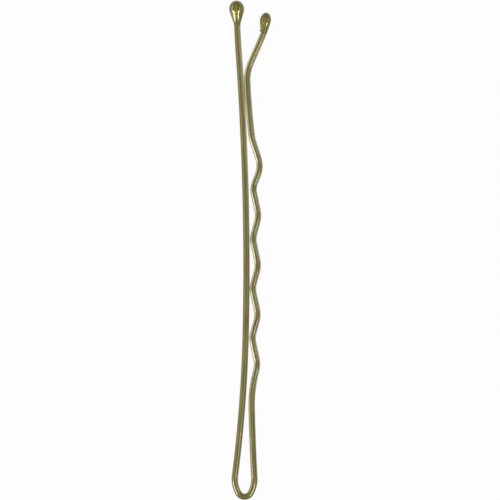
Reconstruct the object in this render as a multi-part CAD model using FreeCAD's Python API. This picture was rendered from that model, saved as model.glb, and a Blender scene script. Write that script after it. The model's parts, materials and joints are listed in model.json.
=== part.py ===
# A crimped bobby pin: one flat spring-steel wire folded double, with a resin drop on each end.
# The pin lies flat, X across it, Y along it towards the open end and Z up. The origin is on the
# surface that it lies on, under the middle of its outline. Lengths are in mm and angles in degrees.
import FreeCAD
import Part
import math
import os

# The wire, rolled flat with half-round edges
wire_thickness = 0.78           # in the plane of the pin
wire_width = 1.2                # square to that plane

# The bend that closes the pin, along the middle line of the wire
crown_radius = 0.83             # at the closed end
crown_half_angle = 60.0         # the crown's share of the turn, each side of the closed end
shoulder_radius = 3.4           # from the crown to each leg

# The straight leg, which bows out as it rises
straight_lean = 7.26            # towards the crimped leg, where it leaves the bend
lower_bow_radius = 165.0
lower_bow_turn = 6.0
upper_bow_radius = 357.0
end_set_radius = 90.0           # turns the last stretch back a little
end_set_turn = 2.2
straight_leg_lead = 1.38        # how far its wire reaches past the crimped leg's

# The crimped leg, from the bend to its turned-out end
leg_gap = 0.03                  # left between the two legs where the spring closes them
root_radius = 250.0
root_turn = 1.92
run_in_radius = 16.0            # from the root into the first crimp
crimp_row_turn = 1.56           # between the root and the row of crimps
crimp_crests = 5
crimp_pitch = 5.95
crimp_rise_share = 0.4573       # of the pitch, from a trough up to the next crest
crimp_height = 0.707            # from trough to crest, between the corners that the radii round off
last_crest_height = 0.982       # the same for the crest nearest to the open end
last_rise_slope = 21.075        # of the flank up to that crest, against the row
crest_radius = 3.0
trough_radius = 2.6
last_crest_turn = 18.35         # from the row of crimps down to the straight leg
last_flank_length = 2.07
nape_entry_radius = 3.5
nape_entry_turn = 11.1
nape_radius = 90.0              # the smooth stretch before the kink
nape_turn = 4.17
kink_radius = 5.0
kink_turn = 26.1
flare_length = 3.67
curl_radius = 2.0               # brings the turned-out end back towards the straight leg
curl_turn = 15.5

# The resin drops on the two ends
wire_end_depth = 0.2            # how far the wire reaches past a drop's widest place
drop_lip = 0.04                 # thickness of resin where a drop ends on the wire's flats
straight_drop_cover = 0.32      # resin outside the wire's edges, at the widest place
straight_drop_head = 1.04       # from the widest place to the top
straight_drop_shoulder = 1.2    # radius from the widest place to the taper
straight_drop_taper = 18.0
crimped_drop_cover = 0.075
crimped_drop_head = 0.97
crimped_drop_shoulder = 1.9
crimped_drop_taper = 13.0

RIGHT_ANGLE = 90.0
HALF_TURN = 180.0
FULL_TURN = 360.0
UP = FreeCAD.Vector(0, 0, 1)
HINGE = FreeCAD.Vector(0, 0, 0)
STRAIGHT_SIDE = -1
CRIMPED_SIDE = 1
HALVINGS = 40
# The middle two poles of a quarter of an ellipse, as a share of its axes
quarter_round_share = 0.5523


def direction(heading):
    """The unit vector in the plane of the pin, counter-clockwise from +X."""
    turn = math.radians(heading)
    return FreeCAD.Vector(math.cos(turn), math.sin(turn), 0)


def last_that(passes, low, high):
    """The last angle from low to high that passes a test, before those that fail it."""
    for _ in range(HALVINGS):
        middle = (low + high) / 2
        if passes(middle):
            low = middle
        else:
            high = middle
    return low


class WirePath:
    """The middle line of a wire, formed by feeds and bends that follow one another without a corner."""

    def __init__(self, point, heading):
        self.start = point
        self.start_heading = heading
        self.point = point
        self.heading = heading
        self.edges = []

    def feed(self, length):
        """Runs straight on."""
        end = self.point + direction(self.heading) * length
        self.edges.append(Part.LineSegment(self.point, end).toShape())
        self.point = end

    def bend(self, radius, turn):
        """Turns along an arc, to the left where turn is positive."""
        spoke = math.copysign(RIGHT_ANGLE, turn)
        centre = self.point + direction(self.heading + spoke) * radius
        middle = centre - direction(self.heading + spoke + turn / 2) * radius
        end = centre - direction(self.heading + spoke + turn) * radius
        self.edges.append(Part.Arc(self.point, middle, end).toShape())
        self.point = end
        self.heading += turn

    def line(self):
        return Part.Wire(self.edges)

    def solid(self):
        """The flat wire along this path."""
        section = wire_section(self.start, self.start_heading)
        return self.line().makePipeShell([section], True, False)


def wire_section(point, heading):
    """The wire's outline, square to its path: two flats, with a half-round edge above and below."""
    flat = direction(heading + RIGHT_ANGLE) * (wire_thickness / 2)
    corner = UP * ((wire_width - wire_thickness) / 2)
    crest = UP * (wire_width / 2)
    return Part.Wire([
        Part.LineSegment(point - flat - corner, point - flat + corner).toShape(),
        Part.Arc(point - flat + corner, point + crest, point + flat + corner).toShape(),
        Part.LineSegment(point + flat + corner, point + flat - corner).toShape(),
        Part.Arc(point + flat - corner, point - crest, point - flat - corner).toShape(),
    ])


def shoulder_turn(lean):
    """How far a shoulder turns, from the end of the crown to a leg that leans inwards."""
    return RIGHT_ANGLE - crown_half_angle + lean


def leg_start(side, lean):
    """A path that starts where the bend ends, on one side of the pin."""
    closed_end = HINGE + direction(-RIGHT_ANGLE) * crown_radius
    half_bend = WirePath(closed_end, 0 if side == CRIMPED_SIDE else HALF_TURN)
    half_bend.bend(crown_radius, side * crown_half_angle)
    half_bend.bend(shoulder_radius, side * shoulder_turn(lean))
    return WirePath(half_bend.point, half_bend.heading)


def bend_path(crimped_lean):
    """The bend, from the straight leg round the closed end to the crimped leg."""
    straight_end = leg_start(STRAIGHT_SIDE, straight_lean)
    path = WirePath(straight_end.point, straight_end.heading - HALF_TURN)
    path.bend(shoulder_radius, shoulder_turn(straight_lean))
    path.bend(crown_radius, 2 * crown_half_angle)
    path.bend(shoulder_radius, shoulder_turn(crimped_lean))
    return path


def straight_leg_path(end_height):
    """The straight leg, whose upper bow is as long as it takes to end at a height above the hinge."""

    def bowed(upper_bow_turn):
        path = leg_start(STRAIGHT_SIDE, straight_lean)
        path.bend(lower_bow_radius, lower_bow_turn)
        path.bend(upper_bow_radius, upper_bow_turn)
        path.bend(end_set_radius, -end_set_turn)
        path.feed(straight_drop.depth() + wire_end_depth)
        return path

    return bowed(last_that(lambda turn: bowed(turn).point.y < end_height, 0, RIGHT_ANGLE))


def rounding(radius, turn):
    """How much of the flank on each side a rounded corner takes up."""
    return radius * math.tan(math.radians(turn) / 2)


def crimped_leg_path(lean):
    """The crimped leg, which stands on the bend with the given lean towards the straight leg."""
    rise_run = crimp_pitch * crimp_rise_share
    fall_run = crimp_pitch - rise_run
    slope = math.degrees(math.atan2(crimp_height, rise_run))
    fall_slope = math.degrees(math.atan2(crimp_height, fall_run))
    rounded = rounding(crest_radius, slope + fall_slope) + rounding(trough_radius, slope + fall_slope)
    rise_length = math.hypot(rise_run, crimp_height) - rounded
    fall_length = math.hypot(fall_run, crimp_height) - rounded
    last_rounded = (rounding(trough_radius, fall_slope + last_rise_slope)
                    + rounding(crest_radius, last_rise_slope + last_crest_turn))
    last_rise_length = last_crest_height / math.sin(math.radians(last_rise_slope)) - last_rounded
    path = leg_start(CRIMPED_SIDE, lean)
    path.bend(root_radius, -root_turn)
    path.bend(run_in_radius, -crimp_row_turn - slope)
    for _ in range(crimp_crests - 2):
        path.bend(crest_radius, slope + fall_slope)
        path.feed(fall_length)
        path.bend(trough_radius, -fall_slope - slope)
        path.feed(rise_length)
    path.bend(crest_radius, slope + fall_slope)
    path.feed(fall_length)
    path.bend(trough_radius, -fall_slope - last_rise_slope)
    path.feed(last_rise_length)
    path.bend(crest_radius, last_rise_slope + last_crest_turn)
    path.feed(last_flank_length)
    path.bend(nape_entry_radius, -nape_entry_turn)
    path.bend(nape_radius, -nape_turn)
    path.bend(kink_radius, -kink_turn)
    path.feed(flare_length)
    path.bend(curl_radius, curl_turn)
    path.feed(crimped_drop.depth() + wire_end_depth)
    return path


def closed_lean():
    """The lean at which the spring brings the crimped leg up to the straight one."""
    straight_line = straight_leg_path(crimped_leg_path(0).point.y).line()

    def is_clear(lean):
        spacing = crimped_leg_path(lean).line().distToShape(straight_line)[0]
        return spacing > wire_thickness + leg_gap

    return last_that(is_clear, -RIGHT_ANGLE / 2, RIGHT_ANGLE / 2)


class ResinDrop:
    """A drop of resin round the end of a leg: a round head, a shoulder and a taper onto the wire."""

    def __init__(self, cover, head, shoulder, taper):
        self.radius = wire_width / 2 + cover
        self.head = head
        self.shoulder = shoulder
        self.taper = math.radians(taper)
        self.lip_radius = wire_thickness / 2 + drop_lip

    def taper_start(self):
        """How far the taper starts below the widest place, and its radius there."""
        below = self.shoulder * math.sin(self.taper)
        radius = self.radius - self.shoulder * (1 - math.cos(self.taper))
        return below, radius

    def depth(self):
        """From the widest place down to the lip on the wire."""
        below, radius = self.taper_start()
        return below + (radius - self.lip_radius) / math.tan(self.taper)

    def solid(self, path, wire):
        """The drop on the end of a path, hollow where its wire goes in."""
        axis = direction(path.heading)
        side = direction(path.heading - RIGHT_ANGLE)
        middle = path.point - axis * wire_end_depth
        below, radius = self.taper_start()
        half_turn = self.taper / 2
        half_below = self.shoulder * math.sin(half_turn)
        half_radius = self.radius - self.shoulder * (1 - math.cos(half_turn))

        def place(height, reach):
            return middle + axis * height + side * reach

        head = Part.BezierCurve()
        head.setPoles([
            place(self.head, 0),
            place(self.head, self.radius * quarter_round_share),
            place(self.head * quarter_round_share, self.radius),
            place(0, self.radius),
        ])
        taper_top = place(-below, radius)
        lip = place(-self.depth(), self.lip_radius)
        lip_centre = place(-self.depth(), 0)
        outline = Part.Wire([
            head.toShape(),
            Part.Arc(place(0, self.radius), place(-half_below, half_radius), taper_top).toShape(),
            Part.LineSegment(taper_top, lip).toShape(),
            Part.LineSegment(lip, lip_centre).toShape(),
            Part.LineSegment(lip_centre, place(self.head, 0)).toShape(),
        ])
        return Part.Face(outline).revolve(middle, axis, FULL_TURN).cut(wire)


straight_drop = ResinDrop(
    straight_drop_cover, straight_drop_head, straight_drop_shoulder, straight_drop_taper)
crimped_drop = ResinDrop(
    crimped_drop_cover, crimped_drop_head, crimped_drop_shoulder, crimped_drop_taper)


def build_pin():
    """The pin's pieces by name, about the hinge that its spring bends round."""
    crimped_lean = closed_lean()
    crimped_path = crimped_leg_path(crimped_lean)
    straight_path = straight_leg_path(crimped_path.point.y + straight_leg_lead)
    crimped_leg = crimped_path.solid()
    straight_leg = straight_path.solid()
    return {
        "straight_leg": straight_leg,
        "spring_bend": bend_path(crimped_lean).solid(),
        "crimped_leg": crimped_leg,
        "straight_leg_tip": straight_drop.solid(straight_path, straight_leg),
        "crimped_leg_tip": crimped_drop.solid(crimped_path, crimped_leg),
    }


pieces = build_pin()
box = Part.makeCompound(list(pieces.values())).optimalBoundingBox(False, False)
to_origin = -FreeCAD.Vector(box.Center.x, box.Center.y, box.ZMin)

os.makedirs("parts", exist_ok=True)
for name, piece in pieces.items():
    piece.translate(to_origin)
    piece.exportStep("parts/" + name + ".step")
print("Outline", box.XLength, box.YLength, box.ZLength)
print("Hinge at", to_origin.x, to_origin.y, to_origin.z)
print("Inside of the bend, radius", crown_radius - wire_thickness / 2)
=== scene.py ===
import json
import math

import bmesh
import bpy
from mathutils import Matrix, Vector


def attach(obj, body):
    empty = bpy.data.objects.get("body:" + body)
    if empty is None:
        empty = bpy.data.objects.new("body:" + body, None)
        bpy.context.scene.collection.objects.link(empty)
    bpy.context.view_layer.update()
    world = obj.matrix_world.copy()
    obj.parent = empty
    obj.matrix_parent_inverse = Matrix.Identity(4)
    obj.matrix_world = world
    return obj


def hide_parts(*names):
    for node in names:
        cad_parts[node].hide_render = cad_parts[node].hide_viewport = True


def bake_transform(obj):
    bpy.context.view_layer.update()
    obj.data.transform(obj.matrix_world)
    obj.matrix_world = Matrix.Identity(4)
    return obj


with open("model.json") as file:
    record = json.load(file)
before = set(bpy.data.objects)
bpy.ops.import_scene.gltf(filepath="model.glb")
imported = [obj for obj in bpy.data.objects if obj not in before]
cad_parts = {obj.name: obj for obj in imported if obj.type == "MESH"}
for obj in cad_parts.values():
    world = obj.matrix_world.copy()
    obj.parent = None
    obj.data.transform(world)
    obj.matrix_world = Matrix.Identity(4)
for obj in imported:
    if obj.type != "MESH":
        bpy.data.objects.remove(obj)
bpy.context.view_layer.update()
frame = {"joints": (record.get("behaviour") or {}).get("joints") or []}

# A bobby pin of flat lacquered wire, lying on a white table and seen from above.
# Lengths are in metres and angles in degrees. X runs across the pin, Y along it to its open end.
MM = 0.001
PER_MM = 1000.0

# The wire
WIRE_THICKNESS = 0.779 * MM
WIRE_WIDTH = 1.2 * MM
WIRE_SIDES = 42
BEND_STEP = 1.5
BEND_REACH = 1.0 * MM

# The bend, along the middle of the wire
CROWN_RADIUS = 0.83 * MM
CROWN_HALF_ANGLE = 60.0
SHOULDER_RADIUS = 3.4 * MM
STRAIGHT_LEAN = 7.26
CRIMPED_LEAN = 3.0543

# The straight leg: the radius and the turn of each bend
LOWER_BOW = (165.0 * MM, 6.0)
UPPER_BOW = (357.0 * MM, 5.3981)
END_SET = (90.0 * MM, -2.2)

# The crimped leg: the radius and the turn of each bend, the slope and the length of each flank
# Its root is turned so that the legs all but touch at the kink
ROOT = (254.5 * MM, -1.886)
RUN_IN_RADIUS = 16.0 * MM
CRIMP_ROW_TURN = 1.56
CREST_RADIUS = 3.0 * MM
TROUGH_RADIUS = 2.6 * MM
RISE = (14.5655, 1.4712 * MM)
FALL = (12.35, 1.9655 * MM)
LAST_RISE = (21.075, 0.8753 * MM)
CRIMP_RISES = (RISE, RISE, RISE, LAST_RISE)
LAST_CREST_TURN = 18.35
LAST_FLANK = 2.07 * MM
NAPE_ENTRY = (3.5 * MM, -11.1)
NAPE = (90.0 * MM, -4.17)
KINK = (5.0 * MM, -26.1)
FLARE = 3.67 * MM
CURL = (2.0 * MM, 15.5)

# The resin drops, about their widest place
WIRE_END_DEPTH = 0.2 * MM
FILM = 0.012 * MM
TAPER_END = 0.04 * MM
RUN_OUT = 0.55 * MM
RUN_OUT_EASE = 0.05 * MM
NECK_EASE = 0.15 * MM
RUN_OUT_STEPS = 8
TAPER_STEPS = 8
SHOULDER_STEPS = 8
HEAD_STEPS = 15

# The flutes of a drop: the sides that they follow, round from the top, and their draw from ring to ring
FLUTES = (1, 4, 8, 11, 15, 18, 21, 24, 28, 33, 36, 40)
FLUTE_DRAW = 0.994

# The nib on the crimped leg's drop
NIB_PLACE = Vector((-0.43 * MM, -1.3 * MM, 0.06 * MM))
NIB_PULL = Vector((-0.13 * MM, -0.05 * MM, 0))
NIB_SIZE = 0.16 * MM

# How near to each other points of the same place, ring or cut are
SAME_PLACE = 0.0001 * MM
SAME_RING = 0.0005 * MM
SAME_CUT = 0.001 * MM
SMOOTH_ANGLE = 40.0

# The pale stripes along the wire's edges, which grow along a leg: painted reflection of the light on the
# edges, and rubbed lacquer
BEND_SHEEN_AND_RUB = 0.3
STRAIGHT_SHEEN_AND_RUB = 0.15
STRAIGHT_SHEEN_AND_RUB_GAIN = 0.6
STRAIGHT_SHEEN_AND_RUB_REACH = (30 * MM, 40 * MM)
CRIMPED_SHEEN_AND_RUB = 0.2
CRIMPED_SHEEN_AND_RUB_GAIN = 0.4
CRIMPED_OUTER_SHEEN_AND_RUB = 0.4
CRIMPED_SHEEN_AND_RUB_REACH = (8 * MM, 16 * MM)
CRIMPED_ROLL = 0.2

# The lacquer
LACQUER_GREEN = (0.158, 0.160, 0.032, 1)
LACQUER_BROWN = (0.196, 0.154, 0.032, 1)
LACQUER_LINE = (0.085, 0.062, 0.014, 1)
LACQUER_SPECK = (0.055, 0.045, 0.015, 1)
# A pale cream for the wire's edges: painted reflection of the light, and rubbed lacquer
LACQUER_SHEEN_AND_RUB = (0.78, 0.73, 0.50, 1)
DRIFT_SHARE = 0.65
SPECK_RANGE = (0.72, 0.78)
INNER_STRIPE = (0.20 * MM, 0.29 * MM, 0.35 * MM, 0.38 * MM)
OUTER_STRIPE = (-0.385 * MM, -0.36 * MM, -0.29 * MM, -0.20 * MM)
LACQUER_RELIEF = 0.001 * MM
LACQUER_ROUGHNESS = 0.32

# The resin
RESIN_OLIVE = (0.25, 0.235, 0.022, 1)
RESIN_OCHRE = (0.27, 0.225, 0.034, 1)
# A dark brown for the grooves of the flutes: painted shade
RESIN_GROOVE_SHADE = (0.11, 0.093, 0.026, 1)
RESIN_NECK = (0.165, 0.147, 0.028, 1)
NECK_TO_HEAD = (-1.6 * MM, -0.2 * MM)
FLUTE_WANDER = 90.0
FLUTE_SCALE = 3.2
FLUTE_FADE = (0.05 * MM, 0.5 * MM)
FLUTE_RELIEF = 0.03 * MM

# Both finishes
NOISE_ROUGHNESS = 0.55
COAT_IOR = 1.5

# The stage
WHITE = (1, 1, 1, 1)
PAPER = (0.5, 0.5, 0.5, 1)
SEEN_WHITE = 0.97
MIRRORED_WHITE = 0.6
LAMP_DISTANCE = 0.5
CAMERA_OFFSET = Vector((0.653 * MM, 28.7755 * MM, 1.8))

hinge = Vector(frame["joints"][0]["pos_m"])


def direction(heading):
    """The way a heading points in the plane of the pin."""
    return Vector((math.cos(math.radians(heading)), math.sin(math.radians(heading)), 0))


def ramp(value, low, high):
    """From 0 to 1 while a value goes from low to high."""
    return min(1.0, max(0.0, (value - low) / (high - low)))


def alone(piece):
    """Leaves one piece selected, so that what follows shapes nothing else."""
    bpy.ops.object.select_all(action="DESELECT")
    piece.select_set(True)
    bpy.context.view_layer.objects.active = piece


def pick(piece, wanted):
    """In edit mode, selects the points of a piece whose place is wanted."""
    form = bmesh.from_edit_mesh(piece.data)
    for point in form.verts:
        point.select_set(wanted(point.co))
    form.select_flush_mode()
    bmesh.update_edit_mesh(piece.data)


def add_ring(name, radius):
    """A ring of points round the Y axis, in edit mode, with one at the top and none at half height."""
    bpy.ops.object.select_all(action="DESELECT")
    bpy.ops.mesh.primitive_circle_add(vertices=WIRE_SIDES, radius=radius, fill_type="NOTHING",
                                      location=(0, 0, 0), rotation=(math.pi / 2, 0, 0))
    bpy.ops.object.transform_apply(location=True, rotation=True, scale=True)
    piece = bpy.context.object
    piece.name = name
    piece.data.name = name
    bpy.ops.object.mode_set(mode="EDIT")
    bpy.ops.mesh.select_mode(type="VERT")
    bpy.ops.mesh.select_all(action="SELECT")
    return piece


def close_form(piece):
    """Leaves edit mode with a closed, smooth form whose faces point outwards."""
    bpy.ops.mesh.select_all(action="SELECT")
    bpy.ops.mesh.remove_doubles(threshold=SAME_PLACE)
    bpy.ops.mesh.normals_make_consistent(inside=False)
    bpy.ops.mesh.select_all(action="DESELECT")
    bpy.ops.object.mode_set(mode="OBJECT")
    alone(piece)
    bpy.ops.object.shade_smooth_by_angle(angle=math.radians(SMOOTH_ANGLE))


def write_points(piece, name, places):
    """Keeps a place for each point, which the finish follows."""
    layer = piece.data.attributes.new(name, "FLOAT_VECTOR", "POINT")
    layer.data.foreach_set("vector", [part for place in places for part in place])


class FormedWire:
    """A length of flat wire, fed straight on or bent round a pin, step by step."""

    def __init__(self, name, point, heading, along):
        self.point = point
        self.heading = heading
        self.along = along
        self.rings = [(point, heading, along)]
        flat_radius = WIRE_THICKNESS / 2 / math.cos(math.pi / WIRE_SIDES)
        self.piece = add_ring(name, flat_radius)
        half_flat = WIRE_WIDTH / 2 - flat_radius
        pick(self.piece, lambda place: place.z > 0)
        bpy.ops.transform.translate(value=(0, 0, half_flat))
        pick(self.piece, lambda place: place.z < 0)
        bpy.ops.transform.translate(value=(0, 0, -half_flat))
        bpy.ops.object.mode_set(mode="OBJECT")
        self.piece.rotation_euler.z = math.radians(heading - 90)
        self.piece.location = point
        bpy.ops.object.transform_apply(location=True, rotation=True, scale=True)
        bpy.ops.object.mode_set(mode="EDIT")
        bpy.ops.mesh.select_all(action="SELECT")

    def feed(self, length):
        """Runs straight on."""
        step = direction(self.heading) * length
        bpy.ops.mesh.extrude_region_move(TRANSFORM_OT_translate={"value": step})
        self.point = self.point + step
        self.along += length
        self.rings.append((self.point, self.heading, self.along))

    def bend(self, radius, turn):
        """Turns round a pin, to the left where the turn is positive."""
        spoke = math.copysign(90, turn)
        pin = self.point + direction(self.heading + spoke) * radius
        length = math.radians(abs(turn)) * radius
        steps = math.ceil(max(abs(turn) / BEND_STEP, length / BEND_REACH))
        bpy.ops.mesh.spin(steps=steps, angle=math.radians(turn), center=pin, axis=(0, 0, -1))
        for _ in range(steps):
            self.heading += turn / steps
            self.along += length / steps
            self.point = pin - direction(self.heading + spoke) * radius
            self.rings.append((self.point, self.heading, self.along))

    def cut(self, inner_side, sheen_and_roll):
        """Cuts the wire off, and keeps each point's painted edge sheen and rub, its roll, and its place
        in the wire before it was bent.

        The inner side, towards the other leg, is to the left of the heading where it is 1, else to the
        right.
        """
        for point, heading, _ in (self.rings[0], self.rings[-1]):
            ahead = direction(heading)
            pick(self.piece, lambda place: abs((place - point).dot(ahead)) < SAME_CUT
                 and (place - point).length < WIRE_WIDTH)
            bpy.ops.mesh.edge_face_add()
        close_form(self.piece)
        places = []
        sheens_and_rolls = []
        for number, point in enumerate(self.piece.data.vertices):
            centre, heading, along = self.rings[number // WIRE_SIDES]
            out = point.co - centre
            places.append((out.dot(direction(heading + 90 * inner_side)), along, out.z))
            sheens_and_rolls.append(sheen_and_roll(along))
        write_points(self.piece, "wire_place", places)
        write_points(self.piece, "wire_sheen_and_roll", sheens_and_rolls)
        return self.piece


def shoulder_end(side, lean):
    """Where the bend's shoulder ends and a leg starts, and the leg's heading there."""
    offset = SHOULDER_RADIUS - CROWN_RADIUS
    crown_end = math.radians(CROWN_HALF_ANGLE)
    pin = hinge + Vector((-side * offset * math.sin(crown_end), offset * math.cos(crown_end), 0))
    tilt = math.radians(lean)
    return pin + Vector((side * math.cos(tilt), math.sin(tilt), 0)) * SHOULDER_RADIUS, 90 + side * lean


def shoulder_turn(lean):
    """How far a shoulder turns from the crown to a leg."""
    return 90 - CROWN_HALF_ANGLE + lean


def half_bend_length(lean):
    """The wire from the closed end to a leg."""
    crown = math.radians(CROWN_HALF_ANGLE) * CROWN_RADIUS
    return crown + math.radians(shoulder_turn(lean)) * SHOULDER_RADIUS


def make_spring_bend():
    """From the straight leg round the closed end to the crimped leg."""
    point, heading = shoulder_end(-1, STRAIGHT_LEAN)
    wire = FormedWire("spring_bend_wire", point, heading - 180, -half_bend_length(STRAIGHT_LEAN))
    wire.bend(SHOULDER_RADIUS, shoulder_turn(STRAIGHT_LEAN))
    wire.bend(CROWN_RADIUS, 2 * CROWN_HALF_ANGLE)
    wire.bend(SHOULDER_RADIUS, shoulder_turn(CRIMPED_LEAN))
    return wire


def make_straight_leg(drop):
    """From the bend up into a drop, slightly bowed."""
    point, heading = shoulder_end(-1, STRAIGHT_LEAN)
    wire = FormedWire("straight_leg_wire", point, heading, half_bend_length(STRAIGHT_LEAN))
    wire.bend(*LOWER_BOW)
    wire.bend(*UPPER_BOW)
    wire.bend(*END_SET)
    wire.feed(drop.depth() + WIRE_END_DEPTH)
    return wire


def make_crimped_leg(drop):
    """From the bend over five crests and the kink, and out along the flare into a drop."""
    point, heading = shoulder_end(1, CRIMPED_LEAN)
    wire = FormedWire("crimped_leg_wire", point, heading, half_bend_length(CRIMPED_LEAN))
    slope, _ = RISE
    fall_slope, fall_length = FALL
    wire.bend(*ROOT)
    wire.bend(RUN_IN_RADIUS, -CRIMP_ROW_TURN - slope)
    for next_slope, rise_length in CRIMP_RISES:
        wire.bend(CREST_RADIUS, slope + fall_slope)
        wire.feed(fall_length)
        wire.bend(TROUGH_RADIUS, -fall_slope - next_slope)
        wire.feed(rise_length)
        slope = next_slope
    wire.bend(CREST_RADIUS, slope + LAST_CREST_TURN)
    wire.feed(LAST_FLANK)
    wire.bend(*NAPE_ENTRY)
    wire.bend(*NAPE)
    wire.bend(*KINK)
    wire.feed(FLARE)
    wire.bend(*CURL)
    wire.feed(drop.depth() + WIRE_END_DEPTH)
    return wire


# How pale the inner and the outer edge are painted, as painted reflection and rubbed lacquer, and the
# roll that its normals show
def bend_sheen_and_roll(_):
    return BEND_SHEEN_AND_RUB, 0.0, 0.0


def straight_leg_sheen_and_roll(along):
    more = ramp(along, *STRAIGHT_SHEEN_AND_RUB_REACH)
    return STRAIGHT_SHEEN_AND_RUB + STRAIGHT_SHEEN_AND_RUB_GAIN * more, 0.0, 0.0


def crimped_leg_sheen_and_roll(along):
    more = ramp(along, *CRIMPED_SHEEN_AND_RUB_REACH)
    return CRIMPED_SHEEN_AND_RUB + CRIMPED_SHEEN_AND_RUB_GAIN * more, CRIMPED_OUTER_SHEEN_AND_RUB * more, CRIMPED_ROLL


class ResinDrop:
    """A drop that has run up from the wire: a film, a taper, a shoulder and a round, fluted head."""

    def __init__(self, radius, head, shoulder, taper):
        self.radius = radius
        self.head = head
        self.shoulder = shoulder
        self.taper = math.radians(taper)

    def taper_start(self):
        """How far below the widest place the taper starts, and its radius there."""
        below = self.shoulder * math.sin(self.taper)
        return below, self.radius - self.shoulder * (1 - math.cos(self.taper))

    def taper_radius(self, height):
        """The radius on the line of the taper at a height."""
        below, radius = self.taper_start()
        return radius - (-height - below) * math.tan(self.taper)

    def depth(self):
        """From the widest place down to where the taper comes to the wire."""
        below, radius = self.taper_start()
        return below + (radius - WIRE_THICKNESS / 2 - TAPER_END) / math.tan(self.taper)

    def rows(self):
        """Heights and radii from the film on the wire up to the head."""
        below, _ = self.taper_start()
        thin = WIRE_THICKNESS / 2 + FILM
        start = -self.depth() - RUN_OUT / 2
        rows = []
        for step in range(RUN_OUT_STEPS + 1):
            share = step / RUN_OUT_STEPS
            height = start + RUN_OUT * share
            rise = self.taper_radius(height) - thin
            rows.append((height, thin + (rise + math.hypot(rise, RUN_OUT_EASE)) / 2 * share ** 0.5))
        top = rows[-1][0]
        for step in range(1, TAPER_STEPS):
            height = top + (-below - top) * step / TAPER_STEPS
            rows.append((height, self.taper_radius(height)))
        for step in range(SHOULDER_STEPS + 1):
            turn = self.taper * (1 - step / SHOULDER_STEPS)
            rows.append((-self.shoulder * math.sin(turn),
                         self.radius - self.shoulder * (1 - math.cos(turn))))
        for step in range(1, HEAD_STEPS):
            turn = math.radians(90 * step / HEAD_STEPS)
            rows.append((self.head * math.sin(turn), self.radius * math.cos(turn)))
        return rows

    def make(self, name):
        """Draws the drop out upright, ring by ring, with its widest place at the origin."""
        rows = self.rows()
        below, _ = self.taper_start()
        height, radius = rows[0]
        piece = add_ring(name, radius)
        bpy.ops.transform.translate(value=(0, height, 0))
        flat = 0.0
        for number, (next_height, next_radius) in enumerate(rows):
            if number:
                bpy.ops.mesh.extrude_region_move(
                    TRANSFORM_OT_translate={"value": (0, next_height - height, 0)})
            next_flat = self.flat(next_radius) if next_height < 0 else 0.0
            self.part(piece, next_height, -flat)
            grow = next_radius / radius
            bpy.ops.transform.resize(value=(grow, 1, grow), center_override=(0, next_height, 0))
            if -below <= next_height <= 0:
                self.flute(piece, next_height)
            self.part(piece, next_height, next_flat)
            height, radius, flat = next_height, next_radius, next_flat
        bpy.ops.mesh.extrude_region_move(
            TRANSFORM_OT_translate={"value": (0, self.head - height, 0)})
        bpy.ops.mesh.merge(type="CENTER")
        pick(piece, lambda place: place.y < rows[0][0] + SAME_CUT)
        bpy.ops.mesh.edge_face_add()
        return piece

    def flat(self, radius):
        """How far the halves of a ring stand apart, so that the neck covers the wire's width."""
        short = WIRE_WIDTH / 2 + FILM - radius
        ease = min(NECK_EASE, self.radius - WIRE_WIDTH / 2 - FILM)
        if abs(short) < ease:
            return (short + ease) ** 2 / (4 * ease)
        return max(0.0, short)

    def flute(self, piece, height):
        """Draws the flutes in a little further, which the rings above then take over."""
        side = 2 * math.pi / WIRE_SIDES
        pick(piece, lambda place: abs(place.y - height) < SAME_RING
             and round(math.atan2(place.x, place.z) / side) % WIRE_SIDES in FLUTES)
        bpy.ops.transform.resize(value=(FLUTE_DRAW, 1, FLUTE_DRAW), center_override=(0, height, 0))

    def part(self, piece, height, gap):
        """Moves the upper and lower halves of the ring at a height apart, and leaves it selected."""
        for side in (1, -1):
            pick(piece, lambda place: abs(place.y - height) < SAME_RING and side * place.z > 0)
            bpy.ops.transform.translate(value=(0, 0, side * gap))
        pick(piece, lambda place: abs(place.y - height) < SAME_RING)


def pull_nib(piece):
    """Draws a small nib out of a drop where the resin caught as it set."""
    points = [point.co.copy() for point in bmesh.from_edit_mesh(piece.data).verts]
    nearest = min(points, key=lambda point: (point - NIB_PLACE).length)
    pick(piece, lambda point: (point - nearest).length < SAME_RING)
    bpy.ops.transform.translate(value=NIB_PULL, use_proportional_edit=True, proportional_size=NIB_SIZE,
                                proportional_edit_falloff="SMOOTH", use_proportional_connected=True)


def set_on_end(piece, wire):
    """Puts a drop on a wire's end, and keeps each point's place in the upright drop."""
    close_form(piece)
    write_points(piece, "drop_place", [point.co.copy() for point in piece.data.vertices])
    piece.rotation_euler.z = math.radians(wire.heading - 90)
    piece.location = wire.point - direction(wire.heading) * WIRE_END_DEPTH
    bpy.ops.object.transform_apply(location=True, rotation=True, scale=True)


class Value:
    """A shader value that goes into sums as a number does."""

    def __init__(self, finish, socket):
        self.finish = finish
        self.socket = socket

    def sum(self, operation, first, second):
        return self.finish.node("ShaderNodeMath", {"operation": operation}, {0: first, 1: second})

    def __add__(self, other):
        return self.sum("ADD", self, other)

    __radd__ = __add__

    def __mul__(self, other):
        return self.sum("MULTIPLY", self, other)

    def __sub__(self, other):
        return self.sum("SUBTRACT", self, other)

    def __rsub__(self, other):
        return self.sum("SUBTRACT", other, self)


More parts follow.
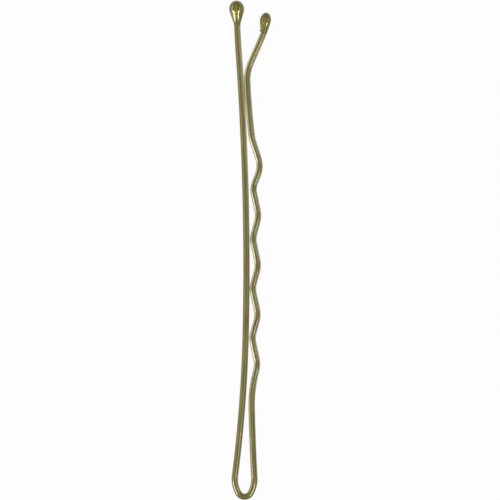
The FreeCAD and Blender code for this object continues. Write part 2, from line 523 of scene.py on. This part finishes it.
class Finish:
    """The nodes of a material or the world, written as sums and calls."""

    def __init__(self, owner):
        self.owner = owner
        owner.use_nodes = True
        self.tree = owner.node_tree
        self.tree.nodes.clear()

    def node(self, kind, settings, sockets, output=0):
        """Adds a node, makes its settings, then fills its sockets with values or links."""
        made = self.tree.nodes.new(kind)
        for key, setting in settings.items():
            setattr(made, key, setting)
        for key, value in sockets.items():
            if isinstance(value, Value):
                self.tree.links.new(value.socket, made.inputs[key])
            else:
                made.inputs[key].default_value = value
        return Value(self, made.outputs[output]) if made.outputs else None

    def kept(self, name):
        """What write_points kept for each point."""
        return self.node("ShaderNodeAttribute", {"attribute_name": name}, {}, 1)

    def noise(self, place, stretch, scale, detail):
        """Soft noise, about 0.5, along stretched places."""
        scaled = self.node("ShaderNodeVectorMath", {"operation": "MULTIPLY"}, {0: place, 1: stretch})
        return self.node("ShaderNodeTexNoise", {"noise_dimensions": "3D"},
                         {"Vector": scaled, "Scale": scale, "Detail": detail,
                          "Roughness": NOISE_ROUGHNESS})

    def band(self, value, low, high, start=0.0, end=1.0):
        """Eases from start to end while a value goes from low to high."""
        return self.node("ShaderNodeMapRange", {"interpolation_type": "SMOOTHSTEP"},
                         {"Value": value, "From Min": low, "From Max": high,
                          "To Min": start, "To Max": end})

    def stripe(self, value, start, full, fade, end):
        """Eases up to 1 from start to full, and back to 0 from fade to end."""
        return self.band(value, start, full) - self.band(value, fade, end)

    def mix(self, share, first, second):
        """A colour between two."""
        return self.node("ShaderNodeMix", {"data_type": "RGBA", "clamp_factor": True},
                         {0: share, 6: first, 7: second}, 2)

    def parts(self, vector):
        """The three parts of a place."""
        split = self.node("ShaderNodeSeparateXYZ", {}, {"Vector": vector})
        return [Value(self, output) for output in split.socket.node.outputs]

    def bump(self, height, distance):
        """A normal that follows a height."""
        return self.node("ShaderNodeBump", {}, {"Height": height, "Distance": distance, "Strength": 1.0})

    def shade(self, kind, surface):
        """Joins the last shader to an output."""
        self.node(kind, {}, {"Surface": surface})


def lacquered_wire():
    """Olive-bronze lacquer that drifts from green to brown, with drawn lines and specks, and pale
    along the wire's edges: painted reflection of the light there, and rubbed lacquer."""
    finish = Finish(bpy.data.materials.new("lacquered_wire"))
    place = finish.kept("wire_place")
    inner, _, _ = finish.parts(place)
    inner_sheen_and_rub, outer_sheen_and_rub, roll = finish.parts(finish.kept("wire_sheen_and_roll"))
    drift = finish.noise(place, stretch=(0.3, 0.22, 0.3), scale=PER_MM, detail=2.0)
    patch = finish.noise(place, stretch=(1.0, 0.6, 1.0), scale=PER_MM, detail=3.0)
    drawn = finish.noise(place, stretch=(7.0, 0.3, 7.0), scale=PER_MM, detail=1.0)
    peel = finish.noise(place, stretch=(2.0, 1.1, 2.0), scale=PER_MM, detail=1.0)
    speck = finish.noise(place, stretch=(5.0, 3.6, 5.0), scale=PER_MM, detail=1.0)

    shift = drift * DRIFT_SHARE + patch * (1 - DRIFT_SHARE)
    olive = finish.mix(finish.band(shift, 0.42, 0.58), LACQUER_GREEN, LACQUER_BROWN)
    lined = finish.mix(finish.band(drawn, 0.48, 0.66, end=0.6), olive, LACQUER_LINE)
    specked = finish.mix(finish.band(speck, *SPECK_RANGE, end=0.7), lined, LACQUER_SPECK)
    # The pale edge stripes: painted reflection of the light on the edges, and rubbed lacquer
    edges = (finish.stripe(inner, *INNER_STRIPE) * inner_sheen_and_rub
             + finish.stripe(inner, *OUTER_STRIPE) * outer_sheen_and_rub)
    sheen_and_rub = edges * finish.band(patch, 0.3, 0.55, start=0.7)
    relief = peel - finish.band(speck, *SPECK_RANGE)
    finish.shade("ShaderNodeOutputMaterial", finish.node("ShaderNodeBsdfPrincipled", {}, {
        "Base Color": finish.mix(sheen_and_rub, specked, LACQUER_SHEEN_AND_RUB),
        "Metallic": finish.band(patch, 0.3, 0.7, start=0.32, end=0.44) * (1 - sheen_and_rub),
        "Roughness": LACQUER_ROUGHNESS + finish.band(drawn, 0.3, 0.7, start=-0.03, end=0.03),
        "Coat Weight": 1.0,
        "Coat Roughness": 0.06,
        "Coat IOR": COAT_IOR,
        "Normal": finish.bump(inner * roll + relief * LACQUER_RELIEF, 1.0),
    }))
    return finish.owner


def resin_drop():
    """Glossy olive resin over the wire's end: fluted where it ran down, with painted shade in the
    flutes' grooves, and browner on the neck.
    """
    finish = Finish(bpy.data.materials.new("resin_drop"))
    place = finish.kept("drop_place")
    _, height, _ = finish.parts(place)
    cloud = finish.noise(place, stretch=(1.6, 0.9, 1.6), scale=PER_MM, detail=2.0)
    outward = finish.node("ShaderNodeVectorMath", {"operation": "MULTIPLY"}, {0: place, 1: (1, 0, 1)})
    radius = finish.node("ShaderNodeVectorMath", {"operation": "LENGTH"}, {0: outward}, 1)
    spoke = finish.node("ShaderNodeVectorMath", {"operation": "NORMALIZE"}, {0: outward})
    run = finish.node("ShaderNodeVectorMath", {"operation": "MULTIPLY_ADD"},
                      {0: place, 1: (0, FLUTE_WANDER, 0), 2: spoke})
    flute = finish.noise(run, stretch=(1, 1, 1), scale=FLUTE_SCALE, detail=1.0)
    head = finish.band(height, *NECK_TO_HEAD)
    olive = finish.mix(finish.band(cloud, 0.38, 0.62), RESIN_OLIVE, RESIN_OCHRE)
    # Painted shade: darker where the flutes' bump is low, in their grooves
    groove_shaded = finish.mix(finish.band(flute, 0.42, 0.56), RESIN_GROOVE_SHADE, olive)
    gloss = finish.band(head, 0.0, 1.0, start=0.32, end=0.16)
    relief = flute * finish.band(radius, *FLUTE_FADE)
    finish.shade("ShaderNodeOutputMaterial", finish.node("ShaderNodeBsdfPrincipled", {}, {
        "Base Color": finish.mix(head, RESIN_NECK, groove_shaded),
        "Metallic": finish.band(head, 0.0, 1.0, start=0.38, end=0.2),
        "Roughness": gloss + finish.band(cloud, 0.35, 0.7, start=-0.02, end=0.04),
        "Coat Weight": 1.0,
        "Coat Roughness": 0.03,
        "Coat IOR": COAT_IOR,
        "Normal": finish.bump(relief, FLUTE_RELIEF),
    }))
    return finish.owner


def white_table():
    """White paper: white to the camera, fainter in the metal, and it takes the pin's shadow."""
    finish = Finish(bpy.data.materials.new("white_table"))
    paper = finish.node("ShaderNodeBsdfDiffuse", {}, {"Color": PAPER})
    white = finish.node("ShaderNodeEmission", {}, {"Color": WHITE, "Strength": 1.0})
    rays = finish.node("ShaderNodeLightPath", {}, {}).socket.node.outputs
    seen = Value(finish, rays["Is Camera Ray"])
    mirrored = Value(finish, rays["Is Glossy Ray"]) + Value(finish, rays["Is Transmission Ray"])
    glow = seen * SEEN_WHITE + mirrored * MIRRORED_WHITE
    surface = finish.node("ShaderNodeMixShader", {}, {0: glow, 1: paper, 2: white})
    finish.shade("ShaderNodeOutputMaterial", surface)
    return finish.owner


def room_light(brightness):
    """A soft even light from all round."""
    finish = Finish(bpy.data.worlds.new("room_light"))
    light = finish.node("ShaderNodeBackground", {}, {"Color": WHITE, "Strength": brightness})
    finish.shade("ShaderNodeOutputWorld", light)
    bpy.context.scene.world = finish.owner


def softbox(name, azimuth, elevation, width, height, brightness):
    """A soft lamp that looks at the pin."""
    lamp = bpy.data.lights.new(name, "AREA")
    lamp.shape = "RECTANGLE"
    lamp.size = width
    lamp.size_y = height
    lamp.energy = brightness * math.pi * width * height
    box = bpy.data.objects.new(name, lamp)
    rise = math.radians(elevation)
    away = direction(azimuth) * math.cos(rise) + Vector((0, 0, math.sin(rise)))
    box.location = away * LAMP_DISTANCE
    box.rotation_euler = away.to_track_quat("Z", "Y").to_euler()
    box.visible_camera = False
    bpy.context.scene.collection.objects.link(box)


straight_drop = ResinDrop(radius=0.917 * MM, head=1.037 * MM, shoulder=1.2 * MM, taper=18.0)
crimped_drop = ResinDrop(radius=0.672 * MM, head=0.967 * MM, shoulder=1.9 * MM, taper=13.0)

bend = make_spring_bend().cut(inner_side=1, sheen_and_roll=bend_sheen_and_roll)
straight_wire = make_straight_leg(straight_drop)
straight_leg = straight_wire.cut(inner_side=-1, sheen_and_roll=straight_leg_sheen_and_roll)
crimped_wire = make_crimped_leg(crimped_drop)
crimped_leg = crimped_wire.cut(inner_side=1, sheen_and_roll=crimped_leg_sheen_and_roll)
straight_tip = straight_drop.make("straight_leg_drop")
set_on_end(straight_tip, straight_wire)
crimped_tip = crimped_drop.make("crimped_leg_drop")
pull_nib(crimped_tip)
set_on_end(crimped_tip, crimped_wire)

lacquer = lacquered_wire()
for piece in (bend, straight_leg, crimped_leg):
    piece.data.materials.append(lacquer)
resin = resin_drop()
for piece in (straight_tip, crimped_tip):
    piece.data.materials.append(resin)

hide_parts("spring_bend")
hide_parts("straight_leg")
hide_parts("crimped_leg")
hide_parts("straight_leg_tip")
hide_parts("crimped_leg_tip")
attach(straight_leg, "straight_side")
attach(straight_tip, "straight_side")
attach(crimped_leg, "crimped_side")
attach(crimped_tip, "crimped_side")
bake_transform(bend)

bpy.ops.object.select_all(action="DESELECT")
bpy.ops.mesh.primitive_plane_add(size=12.0, location=(0, 0, 0))
table = bpy.context.object
table.name = "white_table"
table.data.materials.append(white_table())

room_light(brightness=0.27)
softbox("left_softbox", azimuth=203, elevation=33, width=0.23, height=0.24, brightness=10.0)
softbox("right_softbox", azimuth=327, elevation=53, width=0.215, height=0.15, brightness=10.5)
softbox("right_back_softbox", azimuth=16, elevation=44, width=0.10, height=0.16, brightness=5.0)
softbox("low_window", azimuth=158, elevation=18, width=0.26, height=0.10, brightness=4.5)

lens = bpy.data.cameras.new("camera")
camera = bpy.data.objects.new("camera", lens)
bpy.context.scene.collection.objects.link(camera)
lens.sensor_width = 36.0
lens.lens = 1080.0
lens.clip_start = 0.01
lens.clip_end = 50.0
camera.location = hinge + CAMERA_OFFSET
bpy.context.scene.camera = camera

bpy.context.scene.view_settings.view_transform = "Standard"
